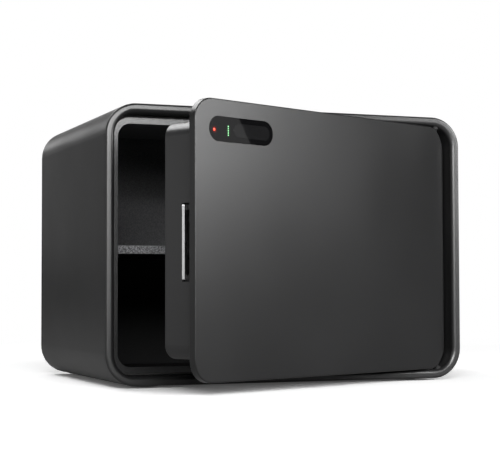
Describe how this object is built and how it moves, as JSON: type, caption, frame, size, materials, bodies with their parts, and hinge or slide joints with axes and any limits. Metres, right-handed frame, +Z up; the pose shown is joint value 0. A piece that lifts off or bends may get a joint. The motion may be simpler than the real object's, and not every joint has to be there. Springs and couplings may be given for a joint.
{
  "type": "biometric safe",
  "caption": "Compact steel safe with rounded corners, a recessed front frame and a right-hinged door with a fingerprint panel, shown ajar over a lined case with a shelf.",
  "frame": {"origin": "centre of the case's underside, in the middle of the floor anchor holes; the feet reach 2 mm below it", "axes": "+Z up, +Y from the door towards the back, +X to the right seen from the front, where the hinge is"},
  "size_m": [0.35, 0.3746, 0.25],
  "materials": {
    "case_paint": "satin charcoal powder coat",
    "bezel_paint": "satin charcoal powder coat",
    "frame_paint": "satin charcoal powder coat",
    "door_paint": "satin charcoal powder coat",
    "pan_paint": "satin dark powder coat",
    "bright_steel": "brushed",
    "zinc_steel": "bright zinc",
    "dark_steel": "black oxide",
    "bronze": "satin",
    "rubber": "matte",
    "lining": "black needle felt",
    "grey_felt": "speckled grey felt",
    "black_plastic": "fine grain",
    "grey_plastic": "moulded",
    "gloss_lens": "high gloss",
    "pad_gloss": "gloss",
    "red_lamp": "clear lamp",
    "green_lamp": "clear lamp",
    "board_green": "lacquered board",
    "cell_wrap": "plain foil wrap",
    "red_wire": "sleeve",
    "blue_wire": "sleeve",
    "ribbon": "film",
    "button_red": "moulded"
  },
  "bodies": {
    "case": {"outer_shell": "case_paint", "back_panel": "case_paint", "front_bezel": "bezel_paint", "strike_frame": "frame_paint", "strike_plate": "zinc_steel", "strike_screws": "zinc_steel", "door_seal": "rubber", "wall_lining": "lining", "floor_mat": "lining", "shelf": "frame_paint", "shelf_felt": "grey_felt", "shelf_brackets": "frame_paint", "bracket_studs": "zinc_steel", "feet": "rubber", "hinge_bushes": "bronze"},
    "door": {"door_plate": "door_paint", "hinge_pins": "dark_steel", "door_pan": "pan_paint", "pan_cover": "pan_paint", "cover_screws": "dark_steel", "sensor_housing": "black_plastic", "sensor_lens": "gloss_lens", "finger_pad": "pad_gloss", "alert_lamp": "red_lamp", "charge_lamps": "green_lamp", "control_board": "board_green", "board_chips": "black_plastic", "board_posts": "zinc_steel", "battery_holder": "black_plastic", "battery_contacts": "zinc_steel", "battery_cells": "cell_wrap", "gearbox": "grey_plastic", "motor": "zinc_steel", "bolt_guides": "grey_plastic", "switch_housing": "black_plastic", "battery_leads": "red_wire", "motor_leads": "blue_wire", "sensor_ribbon": "ribbon"},
    "bolt": {"lock_bolt": "bright_steel"},
    "drive": {"drive_pinion": "bronze", "output_shaft": "zinc_steel"},
    "button": {"setup_button": "button_red"},
    "hatch": {"battery_cover": "black_plastic"}
  },
  "joints": [
    {"name": "door_swing", "type": "hinge", "parent": "case", "child": "door", "pos_m": [0.152, -0.1195, 0.124], "axis": [0, 0, 1], "range_deg": [-23.7, 76.3]},
    {"name": "bolt_throw", "type": "slide", "parent": "door", "child": "bolt", "axis": [-0.9157, -0.4019, 0], "range_m": [0, 0.0125]},
    {"name": "pinion_turn", "type": "hinge", "parent": "door", "child": "drive", "pos_m": [-0.09804, -0.20644, 0.1125], "axis": [0.4019, -0.9157, 0], "range_deg": [0, 120]},
    {"name": "button_press", "type": "slide", "parent": "door", "child": "button", "axis": [0.4019, -0.9157, 0], "range_m": [0, 0.0015], "stiffness_N_per_m": 400, "springref_m": -0.0005},
    {"name": "hatch_lift", "type": "slide", "parent": "door", "child": "hatch", "axis": [-0.4019, 0.9157, 0], "range_m": [0, 0.025]}
  ],
  "couplings": [
    {"joint": "pinion_turn", "follows": "bolt_throw", "rad_per_m": 166.67}
  ]
}
